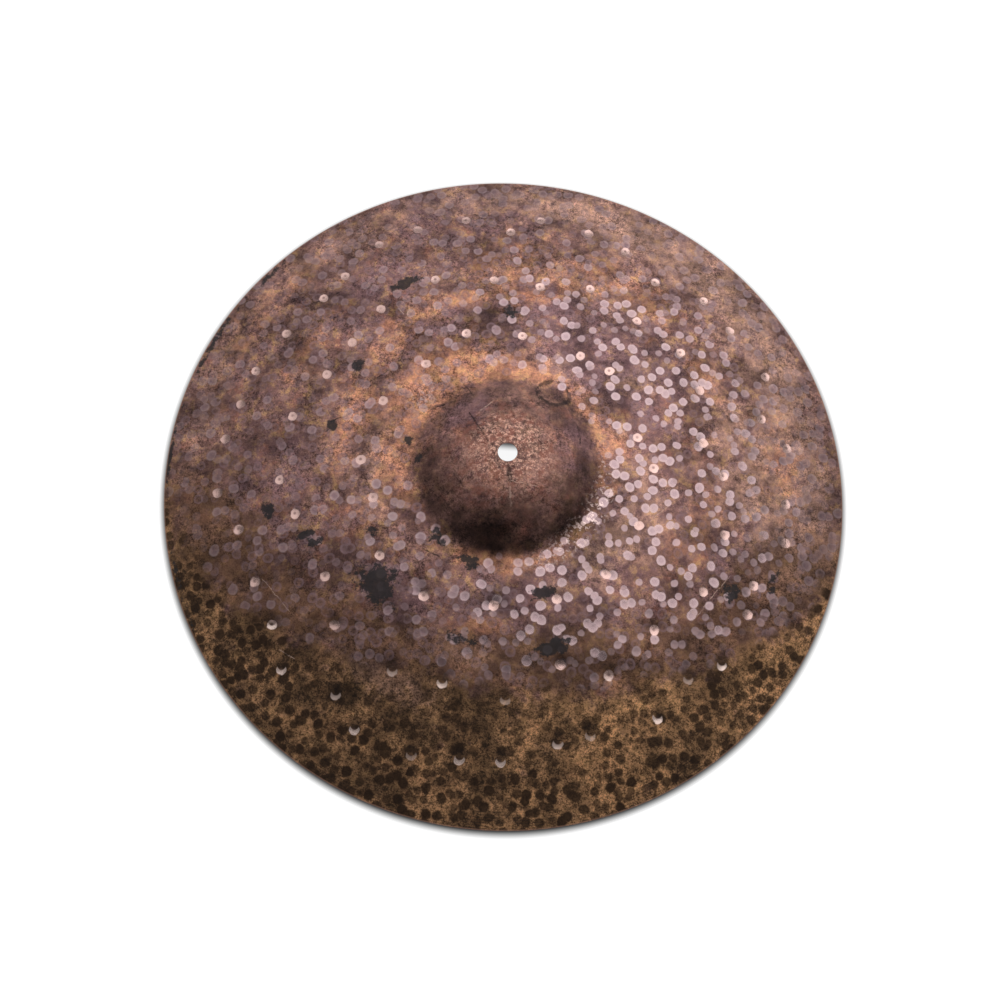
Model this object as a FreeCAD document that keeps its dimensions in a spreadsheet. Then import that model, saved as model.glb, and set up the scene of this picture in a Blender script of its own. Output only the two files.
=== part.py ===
"""Hand-hammered crash cymbal: one cast bronze plate, raised bell, shallow bow, trimmed rim and a bored centre hole.

The frame has +Z up through the hole and its origin at the centre of the circle that the rim rests on.
All sizes are in millimetres and are kept in the spreadsheet "Dimensions".
"""
import FreeCAD, Part

import math
import os

import Sketcher
from FreeCAD import Vector

# ---------------------------------------------------------------- driving dimensions
DIMENSIONS = [
    ("plate_diameter", 457.2, "rim to rim, an 18 inch cymbal"),
    ("bow_height", 25.0, "from the rest plane to the top face at the bell's foot"),
    ("bell_diameter", 118.0, "where the bell's curve meets the bow's curve"),
    ("bell_height", 21.0, "from the bell's foot to its crown, on the top face"),
    ("crease_radius", 16.0, "hollow between bell and bow, on the top face"),
    ("crown_thickness", 1.4, "plate thickness over the whole bell"),
    ("shoulder_thickness", 1.2, "plate thickness of the bow at the bell's foot"),
    ("rim_thickness", 0.85, "plate thickness at the trimmed rim"),
    ("rim_round", 0.25, "rounding of the rim's two corners"),
    ("hole_diameter", 12.5, "centre hole, clear over the sleeve of a stand's rod"),
    ("hole_round", 0.2, "deburred corners of the centre hole"),
]


def make_sheet(doc):
    """The spreadsheet with one named cell for each driving dimension."""
    sheet = doc.addObject("Spreadsheet::Sheet", "Dimensions")
    for row, (alias, value, note) in enumerate(DIMENSIONS, start=1):
        sheet.set(f"A{row}", alias)
        sheet.set(f"B{row}", str(value))
        sheet.set(f"C{row}", note)
        sheet.setAlias(f"B{row}", alias)
    doc.recompute()
    return sheet


# ---------------------------------------------------------------- the section's first guess
def cap_through(inner, outer):
    """Centre height and radius of the circle that is centred on the axis and passes through two (radius, height) points."""
    (r_in, z_in), (r_out, z_out) = inner, outer
    centre = (r_out**2 + z_out**2 - r_in**2 - z_in**2) / (2 * (z_out - z_in))
    return centre, math.hypot(r_in, z_in - centre)


def crease_between(bell, bow, radius):
    """Centre of the circle of that radius which touches the bell's circle and the bow's circle from outside."""
    (bell_centre, bell_radius), (bow_centre, bow_radius) = bell, bow
    to_bell, to_bow = bell_radius + radius, bow_radius + radius
    height = (to_bow**2 - to_bell**2 + bell_centre**2 - bow_centre**2) / (2 * (bell_centre - bow_centre))
    return math.sqrt(to_bell**2 - (height - bell_centre) ** 2), height


def towards(start, end, distance):
    """The point that lies a distance from start on the way to end."""
    length = math.dist(start, end)
    return tuple(a + (b - a) * distance / length for a, b in zip(start, end))


def rounding_between(wall, into, circle, side, radius):
    """Centre of the rounding between a wall at that distance from the axis and one face's circle."""
    centre, face_radius = circle
    reach, across = face_radius + side * radius, wall + into * radius
    return across, centre + math.sqrt(reach**2 - across**2)


def guess_face(sheet, bell, bow, crease_radius, side):
    """The five arcs of one face from hole to rim, each as (centre, first point, last point).

    side is -1 for the top face, whose roundings lie inside its circles, and 1 for the underside.
    """
    hole_wall, rim_wall = sheet.hole_diameter / 2, sheet.plate_diameter / 2
    bell_centre, bow_centre = (0.0, bell[0]), (0.0, bow[0])
    crease = crease_between(bell, bow, crease_radius)
    at_hole = rounding_between(hole_wall, 1, bell, side, sheet.hole_round)
    at_rim = rounding_between(rim_wall, -1, bow, side, sheet.rim_round)
    bell_start = towards(bell_centre, at_hole, bell[1])
    bell_end = towards(bell_centre, crease, bell[1])
    bow_start = towards(bow_centre, crease, bow[1])
    bow_end = towards(bow_centre, at_rim, bow[1])
    return (
        (at_hole, (hole_wall, at_hole[1]), bell_start),
        (bell_centre, bell_start, bell_end),
        (crease, bell_end, bow_start),
        (bow_centre, bow_start, bow_end),
        (at_rim, bow_end, (rim_wall, at_rim[1])),
    )


def guess_faces(sheet):
    """Both faces worked out by hand, so that the sketch starts close to the shape that its constraints keep."""
    foot = sheet.bell_diameter / 2
    edge = sheet.plate_diameter / 2
    crown = sheet.bow_height + sheet.bell_height
    bell_top = cap_through((foot, sheet.bow_height), (0.0, crown))
    bow_top = cap_through((foot, sheet.bow_height), (edge, sheet.rim_thickness))
    bell_under = (bell_top[0], bell_top[1] - sheet.crown_thickness)
    bow_under = cap_through((foot, sheet.bow_height - sheet.shoulder_thickness), (edge, 0.0))
    under_crease = sheet.crease_radius + sheet.shoulder_thickness
    return (
        guess_face(sheet, bell_top, bow_top, sheet.crease_radius, -1),
        guess_face(sheet, bell_under, bow_under, under_crease, 1),
    )


# ---------------------------------------------------------------- sketch helpers
def origin_feature(body, role):
    """The body's own origin plane or axis with that role."""
    return next(feature for feature in body.Origin.OriginFeatures if feature.Role == role)


def new_sketch(body, name, plane_role):
    """An empty sketch on one of the body's own origin planes."""
    sketch = body.newObject("Sketcher::SketchObject", name)
    sketch.AttachmentSupport = (origin_feature(body, plane_role), [""])
    sketch.MapMode = "FlatFace"
    return sketch


def named_size(sketch, name, expression, *constraint):
    """A dimension of the sketch that is bound to the spreadsheet, and starts at the value it is bound to."""
    value = float(sketch.evalExpression(expression))
    index = sketch.addConstraint(Sketcher.Constraint(*constraint, value))
    sketch.renameConstraint(index, name)
    sketch.setExpression(f"Constraints.{name}", expression)


START, END, CENTRE = 1, 2, 3  # the numbers that Sketcher gives an arc's points
HORIZONTAL_AXIS, VERTICAL_AXIS = -1, -2  # the sketch's own axes
ORIGIN = (-1, 1)  # the sketch's own origin


def add_arc(sketch, centre, first, last):
    """An arc between two points, as (index, number of its first point, number of its last point)."""
    angles = [math.atan2(p[1] - centre[1], p[0] - centre[0]) for p in (first, last)]
    clockwise = (angles[1] - angles[0]) % (2 * math.pi) > math.pi
    if clockwise:
        angles.reverse()
    circle = Part.Circle(Vector(*centre, 0), Vector(0, 0, 1), math.dist(centre, first))
    index = sketch.addGeometry(Part.ArcOfCircle(circle, *angles), False)
    return (index, END, START) if clockwise else (index, START, END)


def add_face(sketch, arcs):
    """Draws one face's arcs, each tangent to the next."""
    drawn = [add_arc(sketch, *arc) for arc in arcs]
    for (index, _, last), (following, first, _) in zip(drawn, drawn[1:]):
        sketch.addConstraint(Sketcher.Constraint("Tangent", index, last, following, first))
    return drawn


def add_wall(sketch, under, top):
    """Draws the upright wall that joins the end of an underside arc to the end of a top arc, tangent to both."""
    (under_index, under_end), (top_index, top_end) = under, top
    start, end = sketch.getPoint(under_index, under_end), sketch.getPoint(top_index, top_end)
    wall = sketch.addGeometry(Part.LineSegment(start, end), False)
    sketch.addConstraint(
        [
            Sketcher.Constraint("Tangent", under_index, under_end, wall, START),
            Sketcher.Constraint("Tangent", wall, END, top_index, top_end),
            Sketcher.Constraint("Vertical", wall),
        ]
    )
    return wall


def add_point(sketch, position, *curves):
    """A construction point held on the given curves, or on their extensions."""
    point = sketch.addGeometry(Part.Point(Vector(*position, 0)), True)
    for curve in curves:
        sketch.addConstraint(Sketcher.Constraint("PointOnObject", point, START, curve))
    return point, START


def across(sketch, name, expression, point):
    """Sets a point's distance from the axis."""
    named_size(sketch, name, expression, "DistanceX", *ORIGIN, *point)


def above(sketch, name, expression, point, base=ORIGIN):
    """Sets a point's height over another point, which is the rest plane if none is given."""
    named_size(sketch, name, expression, "DistanceY", *base, *point)


# ---------------------------------------------------------------- the plate
def draw_section(body, sheet):
    """Half of the plate's section, with the hole's wall on the left and the rim's wall on the right."""
    sketch = new_sketch(body, "PlateSection", "XZ_Plane")
    top_guess, under_guess = guess_faces(sheet)
    top, under = add_face(sketch, top_guess), add_face(sketch, under_guess)
    hole = add_wall(sketch, under[0][:2], top[0][:2])
    rim = add_wall(sketch, under[4][::2], top[4][::2])
    top_hole_round, top_bell, top_crease, top_bow, top_rim_round = (arc[0] for arc in top)
    under_hole_round, under_bell, under_crease, under_bow, under_rim_round = (arc[0] for arc in under)

    # the bell's two faces are concentric and each bow face is centred on the axis
    for arc in (top_bell, top_bow, under_bow):
        sketch.addConstraint(Sketcher.Constraint("PointOnObject", arc, CENTRE, VERTICAL_AXIS))
    sketch.addConstraint(Sketcher.Constraint("Coincident", under_bell, CENTRE, top_bell, CENTRE))

    # bell: its foot, its crown and its wall
    foot, edge = sheet.bell_diameter / 2, sheet.plate_diameter / 2
    crown = sheet.bow_height + sheet.bell_height
    foot_top = add_point(sketch, (foot, sheet.bow_height), top_bell, top_bow)
    foot_under = add_point(sketch, (foot, sheet.bow_height - sheet.shoulder_thickness), under_bow)
    crown_top = add_point(sketch, (0.0, crown), VERTICAL_AXIS, top_bell)
    crown_under = add_point(sketch, (0.0, crown - sheet.crown_thickness), VERTICAL_AXIS, under_bell)
    across(sketch, "foot_top_radius", "Dimensions.bell_diameter / 2", foot_top)
    above(sketch, "foot_top_height", "Dimensions.bow_height", foot_top)
    across(sketch, "foot_under_radius", "Dimensions.bell_diameter / 2", foot_under)
    above(sketch, "foot_wall", "Dimensions.shoulder_thickness", foot_top, foot_under)
    above(sketch, "crown_height", "Dimensions.bow_height + Dimensions.bell_height", crown_top)
    above(sketch, "crown_wall", "Dimensions.crown_thickness", crown_top, crown_under)

    # rim: its radius, its wall between the sharp corners, and its lower rounding standing on the rest plane
    corner_top = add_point(sketch, (edge, sheet.rim_thickness), rim, top_bow)
    corner_under = add_point(sketch, (edge, 0.0), rim, under_bow)
    across(sketch, "rim_radius", "Dimensions.plate_diameter / 2", (rim, START))
    above(sketch, "rim_wall", "Dimensions.rim_thickness", corner_top, corner_under)
    above(sketch, "rest", "Dimensions.rim_round", (under_rim_round, CENTRE))
    across(sketch, "hole_radius", "Dimensions.hole_diameter / 2", (hole, START))

    radii = [
        (top_crease, "top_crease", "Dimensions.crease_radius"),
        (under_crease, "under_crease", "Dimensions.crease_radius + Dimensions.shoulder_thickness"),
        (top_hole_round, "top_hole_round", "Dimensions.hole_round"),
        (under_hole_round, "under_hole_round", "Dimensions.hole_round"),
        (top_rim_round, "top_rim_round", "Dimensions.rim_round"),
        (under_rim_round, "under_rim_round", "Dimensions.rim_round"),
    ]
    for arc, name, expression in radii:
        named_size(sketch, name, expression, "Radius", arc)
    return sketch


def make_cymbal(doc, sheet):
    """The whole cymbal, which is one piece of bronze: its section turned once round the axis."""
    body = doc.addObject("PartDesign::Body", "Cymbal")
    body.Label = "cymbal"
    section = draw_section(body, sheet)
    doc.recompute()
    if section.solve() != 0 or not section.FullyConstrained:
        raise RuntimeError("the plate's section isn't fully constrained")
    plate = body.newObject("PartDesign::Revolution", "HammeredPlate")
    plate.Profile = section
    plate.ReferenceAxis = (section, ["V_Axis"])
    plate.Angle = 360.0
    doc.recompute()
    return body


# ---------------------------------------------------------------- checks and export
def check(doc, bodies):
    """Stops the build if any object failed or a body holds anything but one closed solid."""
    for item in doc.Objects:
        if {"Invalid", "Error"} & set(item.State):
            raise RuntimeError(f"{item.Name} failed: {item.State}")
    for body in bodies:
        shape = body.Shape
        if shape.isNull() or not shape.isValid() or len(shape.Solids) != 1:
            raise RuntimeError(f"{body.Label} isn't one valid solid")


def export(bodies):
    """Writes one STEP file for each body, named by its label."""
    os.makedirs("parts", exist_ok=True)
    for body in bodies:
        body.Shape.exportStep(f"parts/{body.Label}.step")
        box = body.Shape.optimalBoundingBox(False, False)
        print(
            f"{body.Label}: {box.XLength:.2f} x {box.YLength:.2f} x {box.ZLength:.2f} mm,",
            f"lowest {abs(box.ZMin):.3f}, volume {body.Shape.Volume / 1000:.2f} cm3",
        )


def main():
    doc = FreeCAD.newDocument("CrashCymbal")
    sheet = make_sheet(doc)
    bodies = [make_cymbal(doc, sheet)]
    doc.recompute()
    check(doc, bodies)
    export(bodies)


main()
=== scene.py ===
# %% [markdown]
# # A hand-hammered crash cymbal
# The real cymbal is one sheet of cast bronze. A smith hammers it over an anvil until it has a
# shallow bow, and leaves it unlathed, so the fire's dark skin stays on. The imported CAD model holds
# its sizes: the bell, the bow, the wall and the hole. This lesson keeps those sizes and adds what
# the hammer, the fire and the hand left on the plate.

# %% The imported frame
import math

import bpy
import numpy as np
from mathutils import Matrix, Vector


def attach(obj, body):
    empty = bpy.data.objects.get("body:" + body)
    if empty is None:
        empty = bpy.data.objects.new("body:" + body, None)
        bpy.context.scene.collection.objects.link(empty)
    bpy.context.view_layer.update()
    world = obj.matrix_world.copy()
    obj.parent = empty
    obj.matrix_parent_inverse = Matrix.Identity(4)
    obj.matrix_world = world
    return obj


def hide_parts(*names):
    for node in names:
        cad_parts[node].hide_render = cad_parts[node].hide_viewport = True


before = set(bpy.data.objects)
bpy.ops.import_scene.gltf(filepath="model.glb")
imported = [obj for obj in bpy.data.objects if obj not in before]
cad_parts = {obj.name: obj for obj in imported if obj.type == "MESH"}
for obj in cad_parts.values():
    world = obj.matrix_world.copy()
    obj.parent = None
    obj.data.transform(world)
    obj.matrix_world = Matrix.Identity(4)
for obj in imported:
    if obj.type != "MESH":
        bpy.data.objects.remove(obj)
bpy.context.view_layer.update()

# %% [markdown]
# ## The plate's section
# A cymbal is round, so one half section says everything about its smooth shape. Each face is three
# arcs: the bell's cap, a hollow crease at the bell's foot, and the long arc of the bow. They are
# worked out from the same few sizes as in the CAD model, in millimetres, and then compared with it.

# %% The section's arcs
EDGE = 228.6  # radius of the rim
HOLE = 6.25  # radius of the centre hole
FOOT = 59.0  # radius where the bell's arc meets the bow's arc
BOW_HEIGHT, BELL_HEIGHT = 25.0, 21.0
CROWN_WALL, SHOULDER_WALL, RIM_WALL = 1.4, 1.2, 0.85
CREASE = 16.0
RIM_ROUND, HOLE_ROUND = 0.25, 0.2


def cap_through(inner, outer):
    """Centre height and radius of the circle on the axis through two (radius, height) points."""
    (r_in, z_in), (r_out, z_out) = inner, outer
    centre = (r_out**2 + z_out**2 - r_in**2 - z_in**2) / (2 * (z_out - z_in))
    return centre, math.hypot(r_in, z_in - centre)


def face_of_plate(bell, bow, crease_radius):
    """A function that gives one face's height at any distance from the axis."""
    (bell_z, bell_r), (bow_z, bow_r) = bell, bow
    to_bell, to_bow = bell_r + crease_radius, bow_r + crease_radius
    crease_z = (to_bow**2 - to_bell**2 + bell_z**2 - bow_z**2) / (2 * (bell_z - bow_z))
    crease_x = math.sqrt(to_bell**2 - (crease_z - bell_z) ** 2)
    bell_end = crease_x * bell_r / to_bell
    bow_start = crease_x * bow_r / to_bow

    def height(r):
        r = np.asarray(r, float)
        cap = bell_z + np.sqrt(bell_r**2 - np.minimum(r, bell_end) ** 2)
        hollow = crease_z - np.sqrt(np.maximum(crease_radius**2 - (r - crease_x) ** 2, 0))
        long_arc = bow_z + np.sqrt(bow_r**2 - r**2)
        return np.where(r < bell_end, cap, np.where(r < bow_start, hollow, long_arc))

    return height


RIM_DROP = RIM_ROUND * 0.3  # the sharp lower corner would lie this far under the rest plane
top_bell = cap_through((FOOT, BOW_HEIGHT), (0.0, BOW_HEIGHT + BELL_HEIGHT))
top_bow = cap_through((FOOT, BOW_HEIGHT), (EDGE, RIM_WALL - RIM_DROP))
under_bow = cap_through((FOOT, BOW_HEIGHT - SHOULDER_WALL), (EDGE, -RIM_DROP))
top_height = face_of_plate(top_bell, top_bow, CREASE)
under_height = face_of_plate((top_bell[0], top_bell[1] - CROWN_WALL), under_bow, CREASE + SHOULDER_WALL)

cad = np.array([v.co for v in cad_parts["cymbal"].data.vertices]) * 1000
cad_r = np.hypot(cad[:, 0], cad[:, 1])
inside = (cad_r > HOLE + 0.5) & (cad_r < EDGE - 0.5)
gap = np.minimum(abs(cad[inside, 2] - top_height(cad_r[inside])),
                 abs(cad[inside, 2] - under_height(cad_r[inside])))
print(f"the section leaves the CAD model by at most {gap.max():.3f} mm")

# %% [markdown]
# ## A plate made of rings
# The plate could be a circle that is spun, but spun faces are slivers at the hole and wide at the
# rim, and small dents need even faces. Here each ring has as many points as its own length asks
# for, so all triangles are about the same size. The rings run over the top, round the rim, back
# along the underside and up the hole's wall, so the plate is closed.

# %% Rings round the section
TOP_SPACING, UNDER_SPACING = 1.5, 3.2


def arc_points(centre, radius, start, end, steps):
    """Points on a small arc of the section, from one angle in degrees to another."""
    angles = np.radians(np.linspace(start, end, steps))
    return [(centre[0] + radius * math.cos(a), centre[1] + radius * math.sin(a)) for a in angles]


def face_points(height, start, end, spacing):
    """Points along one face, evenly spaced from one radius to another."""
    radii = np.linspace(start, end, round(abs(end - start) / spacing) + 1)
    return [(float(r), float(height(r))) for r in radii]


hole_top = float(top_height(HOLE + HOLE_ROUND)) - HOLE_ROUND
hole_under = float(under_height(HOLE + HOLE_ROUND)) + HOLE_ROUND
rim_top = float(top_height(EDGE - RIM_ROUND)) - RIM_ROUND
section = (
    [(p, TOP_SPACING, "top") for p in arc_points((HOLE + HOLE_ROUND, hole_top), HOLE_ROUND, 180, 90, 4)]
    + [(p, TOP_SPACING, "top") for p in face_points(top_height, HOLE + 0.9, EDGE - 1.0, TOP_SPACING)]
    + [(p, TOP_SPACING, "rim") for p in arc_points((EDGE - RIM_ROUND, rim_top), RIM_ROUND, 80, 0, 4)]
    + [(p, 2.2, "rim") for p in arc_points((EDGE - RIM_ROUND, RIM_ROUND), RIM_ROUND, 0, -100, 4)]
    + [(p, UNDER_SPACING, "under") for p in face_points(under_height, EDGE - 1.5, HOLE + 0.9, UNDER_SPACING)]
    + [(p, UNDER_SPACING, "under")
       for p in arc_points((HOLE + HOLE_ROUND, hole_under), HOLE_ROUND, 270, 180, 4)]
)
print(len(section), "rings")


def stitch(inner, outer):
    """Triangles between two rings, given as arrays of (point number, angle)."""
    faces = []
    i = j = 0
    while i < len(inner) or j < len(outer):
        next_inner = (i + 1) / len(inner)
        next_outer = (j + 1) / len(outer)
        a, b = inner[i % len(inner)], outer[j % len(outer)]
        if j == len(outer) or (i < len(inner) and next_inner <= next_outer):
            faces.append((a, b, inner[(i + 1) % len(inner)]))
            i += 1
        else:
            faces.append((a, b, outer[(j + 1) % len(outer)]))
            j += 1
    return faces


def ring_plate(name, section):
    """A closed mesh through all the rings, in metres, with a note on each point of where it lies."""
    points, rings, top, trim = [], [], [], []
    for (radius, height), spacing, where in section:
        count = max(36, round(2 * math.pi * radius / spacing))
        first = len(points)
        for k in range(count):
            angle = 2 * math.pi * k / count
            points.append((radius * math.cos(angle), radius * math.sin(angle), height))
        rings.append(range(first, first + count))
        top += [float(where != "under")] * count
        trim += [float(where == "rim")] * count
    faces = []
    for inner, outer in zip(rings, rings[1:] + rings[:1]):
        faces += stitch(inner, outer)
    mesh = bpy.data.meshes.new(name)
    mesh.from_pydata((np.array(points) / 1000).tolist(), [], faces)
    for label, values in (("top_side", top), ("trimmed", trim)):
        mesh.attributes.new(label, "FLOAT", "POINT").data.foreach_set("value", values)
    mesh.polygons.foreach_set("use_smooth", [True] * len(mesh.polygons))
    mesh.update()
    plate = bpy.data.objects.new(name, mesh)
    bpy.context.scene.collection.objects.link(plate)
    return plate


plate = ring_plate("hammered_plate", section)
print(len(plate.data.polygons), "triangles")

# %% [markdown]
# ## One pattern for shape and colour
# Each blow of the hammer leaves a dent and also rubs the skin bright, so dent and colour have to
# sit in the same place. Geometry Nodes and shader nodes share their maths, noise and cell nodes,
# so the pattern is written once, as small functions that build nodes in whichever tree they get.
# `Field` wraps a socket, and lets sums be written as sums.

# %% Fields: sockets that can be added and multiplied
class Field:
    """A node's output, with the usual arithmetic. It works in a shader tree and in a geometry tree."""

    def __init__(self, tree, socket):
        self.tree, self.socket = tree, socket

    def maths(self, operation, *others):
        node = self.tree.nodes.new("ShaderNodeMath")
        node.operation = operation
        for slot, value in zip(node.inputs, (self, *others)):
            plug(self.tree, slot, value)
        return Field(self.tree, node.outputs[0])

    def vector(self, operation, *others, output=0):
        node = self.tree.nodes.new("ShaderNodeVectorMath")
        node.operation = operation
        for slot, value in zip(node.inputs, (self, *others)):
            plug(self.tree, slot, value)
        return Field(self.tree, node.outputs[output])

    @property
    def is_vector(self):
        return self.socket.type in ("VECTOR", "RGBA")

    def __add__(self, other):
        return self.vector("ADD", other) if self.is_vector else self.maths("ADD", other)

    def __sub__(self, other):
        return self.vector("SUBTRACT", other) if self.is_vector else self.maths("SUBTRACT", other)

    def __mul__(self, other):
        if not self.is_vector:
            return self.maths("MULTIPLY", other)
        node = self.tree.nodes.new("ShaderNodeVectorMath")
        node.operation = "SCALE"
        plug(self.tree, node.inputs[0], self)
        plug(self.tree, node.inputs["Scale"], other)
        return Field(self.tree, node.outputs[0])

    def __truediv__(self, other):
        return self.maths("DIVIDE", other)

    def length(self):
        return self.vector("LENGTH", output="Value")

    def along(self, other):
        return self.vector("DOT_PRODUCT", other, output="Value")

    def parts(self):
        node = self.tree.nodes.new("ShaderNodeSeparateXYZ")
        plug(self.tree, node.inputs[0], self)
        return [Field(self.tree, out) for out in node.outputs]

    def smooth(self, low, high, start=0.0, end=1.0):
        """A soft step: start below low, end above high."""
        node = self.tree.nodes.new("ShaderNodeMapRange")
        node.interpolation_type = "SMOOTHSTEP"
        for slot, value in zip(node.inputs, (self, low, high, start, end)):
            plug(self.tree, slot, value)
        return Field(self.tree, node.outputs[0])

    def towards(self, other, share):
        """This value, blended towards another by a share from 0 to 1."""
        if not self.is_vector:
            return self + (as_field(self.tree, other) - self) * share
        node = self.tree.nodes.new("ShaderNodeMix")
        node.data_type = "VECTOR"
        plug(self.tree, node.inputs[0], share)
        plug(self.tree, node.inputs[4], self)
        plug(self.tree, node.inputs[5], other)
        return Field(self.tree, node.outputs[1])


def plug(tree, slot, value):
    """Links a field to a slot, or sets a plain number, point or colour there."""
    if isinstance(value, Field):
        tree.links.new(value.socket, slot)
    elif slot.type == "RGBA":
        slot.default_value = (*value, 1.0)
    else:
        slot.default_value = value


def as_field(tree, value):
    """A plain number as a field."""
    if isinstance(value, Field):
        return value
    node = tree.nodes.new("ShaderNodeMath")
    node.operation = "ADD"
    node.inputs[0].default_value, node.inputs[1].default_value = value, 0.0
    return Field(tree, node.outputs[0])


def vector_of(tree, x, y, z=0.0):
    node = tree.nodes.new("ShaderNodeCombineXYZ")
    for slot, value in zip(node.inputs, (x, y, z)):
        plug(tree, slot, value)
    return Field(tree, node.outputs[0])


def noise(place, size, detail=2.0, roughness=0.5, shift=0.0):
    """Cloudy noise from 0 to 1 whose largest clouds are about that many millimetres across."""
    tree = place.tree
    node = tree.nodes.new("ShaderNodeTexNoise")
    node.noise_dimensions = "3D"
    plug(tree, node.inputs["Vector"], place + (shift, shift * 0.7, shift * 1.3))
    node.inputs["Scale"].default_value = 1.0 / size
    node.inputs["Detail"].default_value = detail
    node.inputs["Roughness"].default_value = roughness
    return Field(tree, node.outputs[0])


def smallest(a, b):
    return a.maths("MINIMUM", b)


print("the pattern's tools are ready")

# %% [markdown]
# ## Hammer marks
# A round-faced hammer leaves marks of 5 to 8 mm, a little oval, some over each other. A cell
# texture scatters one point in each cell of a loose grid, which spreads them as evenly as a smith
# does who turns the plate between blows. Two loose layers of different cell size cover the bow and
# overlap freely, and a third, crowded one fills a band along the rim. Whether a cell holds a mark is
# decided at the mark's centre, so a mark is whole or missing, never cut off.

# %% The hammer's blows
def blows(place, cell, seed, radius, spread, share_at):
    """One layer of marks: distance from the nearest mark's centre over its radius, its tone, offset, turn.

    share_at gives, for the place of a mark's centre, how many of the cells there hold a mark.
    """
    tree = place.tree
    grid = place * (1.0 / cell) + (seed * 3.7, seed * 5.3, 0.0)
    cells = tree.nodes.new("ShaderNodeTexVoronoi")
    cells.voronoi_dimensions = "2D"
    cells.inputs["Scale"].default_value = 1.0
    cells.inputs["Randomness"].default_value = 0.82
    plug(tree, cells.inputs["Vector"], grid)
    centre = Field(tree, cells.outputs["Position"])
    turn, luck, tone = Field(tree, cells.outputs["Color"]).parts()
    offset = (grid - centre) * cell
    long_axis = vector_of(tree, (turn * 6.283).maths("COSINE"), (turn * 6.283).maths("SINE"))
    stretch = offset.along(long_axis)
    distance = (offset.along(offset) - stretch * stretch * luck * 0.28).maths("SQRT")
    size = tone.smooth(0.0, 1.0, radius * (1 - spread), radius * (1 + spread))
    missing = luck.maths("GREATER_THAN", share_at(place - offset)) * 9.0
    return distance / size + missing, tone, offset, turn


def loose_share(place):
    """How many cells of a loose layer hold a mark: none on the bell, fewer close to the rim."""
    from_axis = place.length()
    return from_axis.smooth(62.0, 66.0, 0.0, 0.93) * from_axis.smooth(180.0, 202.0, 1.0, 0.3)


def crowded_share(place):
    """How many cells of the crowded layer hold a mark: only those in a band along the rim."""
    return place.length().smooth(182.0, 204.0, 0.0, 0.95)


def hammer_marks(place):
    """All layers of marks together: relative distance, tone, offset and turn of the mark on top."""
    layers = (
        blows(place, 11.6, 1.0, 2.8, 0.15, loose_share),
        blows(place, 13.9, 2.0, 2.65, 0.18, loose_share),
        blows(place, 7.9, 5.0, 3.05, 0.16, crowded_share),
    )
    result = layers[0]
    for layer in layers[1:]:
        on_top = layer[0].maths("LESS_THAN", result[0])
        nearest = smallest(result[0], layer[0])
        result = [nearest] + [old.towards(new, on_top) for old, new in zip(result[1:], layer[1:])]
    return result


# %% [markdown]
# ## Deep blows in three rings
# Last, the smith tunes the plate with heavier blows, in three loose rings round the bell. Each
# one is a small pit in a wide shallow basin. A pit's angle is its number times the step between
# two pits, and a random number that belongs to that pit moves it a little.

# %% The deep blows
DEEP_RINGS = ((96.0, 16, 7.0), (142.0, 25, 10.0), (186.0, 38, 9.0))  # radius, pits, play in mm
PIT = 4.3  # radius of a pit


def deep_blows(place):
    """Distance from the nearest pit's centre in millimetres, its offset, and a random number for it."""
    tree = place.tree
    x, y, _ = place.parts()
    angle = y.maths("ARCTAN2", x)
    nearest = pit_offset = pit_luck = None
    for ring, (radius, count, play) in enumerate(DEEP_RINGS):
        step = 2 * math.pi / count
        number = (angle * (1 / step)).maths("ROUND").maths("FLOORED_MODULO", float(count))
        dice = tree.nodes.new("ShaderNodeTexWhiteNoise")
        dice.noise_dimensions = "1D"
        plug(tree, dice.inputs["W"], number + (17.0 + 101.0 * ring))
        turn, reach, luck = Field(tree, dice.outputs["Color"]).parts()
        pit_angle = (number + turn * 0.5 - 0.25) * step
        pit_radius = reach * (2 * play) + (radius - play)
        centre = vector_of(tree, pit_angle.maths("COSINE") * pit_radius, pit_angle.maths("SINE") * pit_radius)
        offset = vector_of(tree, x, y) - centre
        distance = offset.length()
        if nearest is None:
            nearest, pit_offset, pit_luck = distance, offset, luck
        else:
            nearer = distance.maths("LESS_THAN", nearest)
            nearest = smallest(nearest, distance)
            pit_offset = pit_offset.towards(offset, nearer)
            pit_luck = pit_luck.towards(luck, nearer)
    return nearest, pit_offset, pit_luck


def dent_depth(near, pit_distance, mark_depth, pit_depth, basin_depth):
    """How far the face lies under the smooth plate, in millimetres."""
    dent = near.smooth(0.0, 1.05, mark_depth, 0.0)
    pit = pit_distance.smooth(0.0, PIT + 1.2, pit_depth, 0.0)
    basin = pit_distance.smooth(2.0, 15.0, basin_depth, 0.0)
    return dent + pit + basin


print(sum(count for _, count, _ in DEEP_RINGS), "deep blows")

# %% [markdown]
# ## The hammer as a node tree
# The tree takes the smooth plate and sinks every blow into it. Its inputs are the depths, so the
# plate can be hammered harder or softer without touching the nodes. Both faces sink together at a
# deep blow, as a real sheet does, but only the top shows the edges of the small marks.

# %% The hammering tree
def input_place(tree):
    """The place of each point of the mesh, in millimetres."""
    return Field(tree, tree.nodes.new("GeometryNodeInputPosition").outputs[0]) * 1000.0


def named_attribute(tree, name):
    node = tree.nodes.new("GeometryNodeInputNamedAttribute")
    node.data_type = "FLOAT"
    node.inputs["Name"].default_value = name
    return Field(tree, node.outputs["Attribute"])


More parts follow.
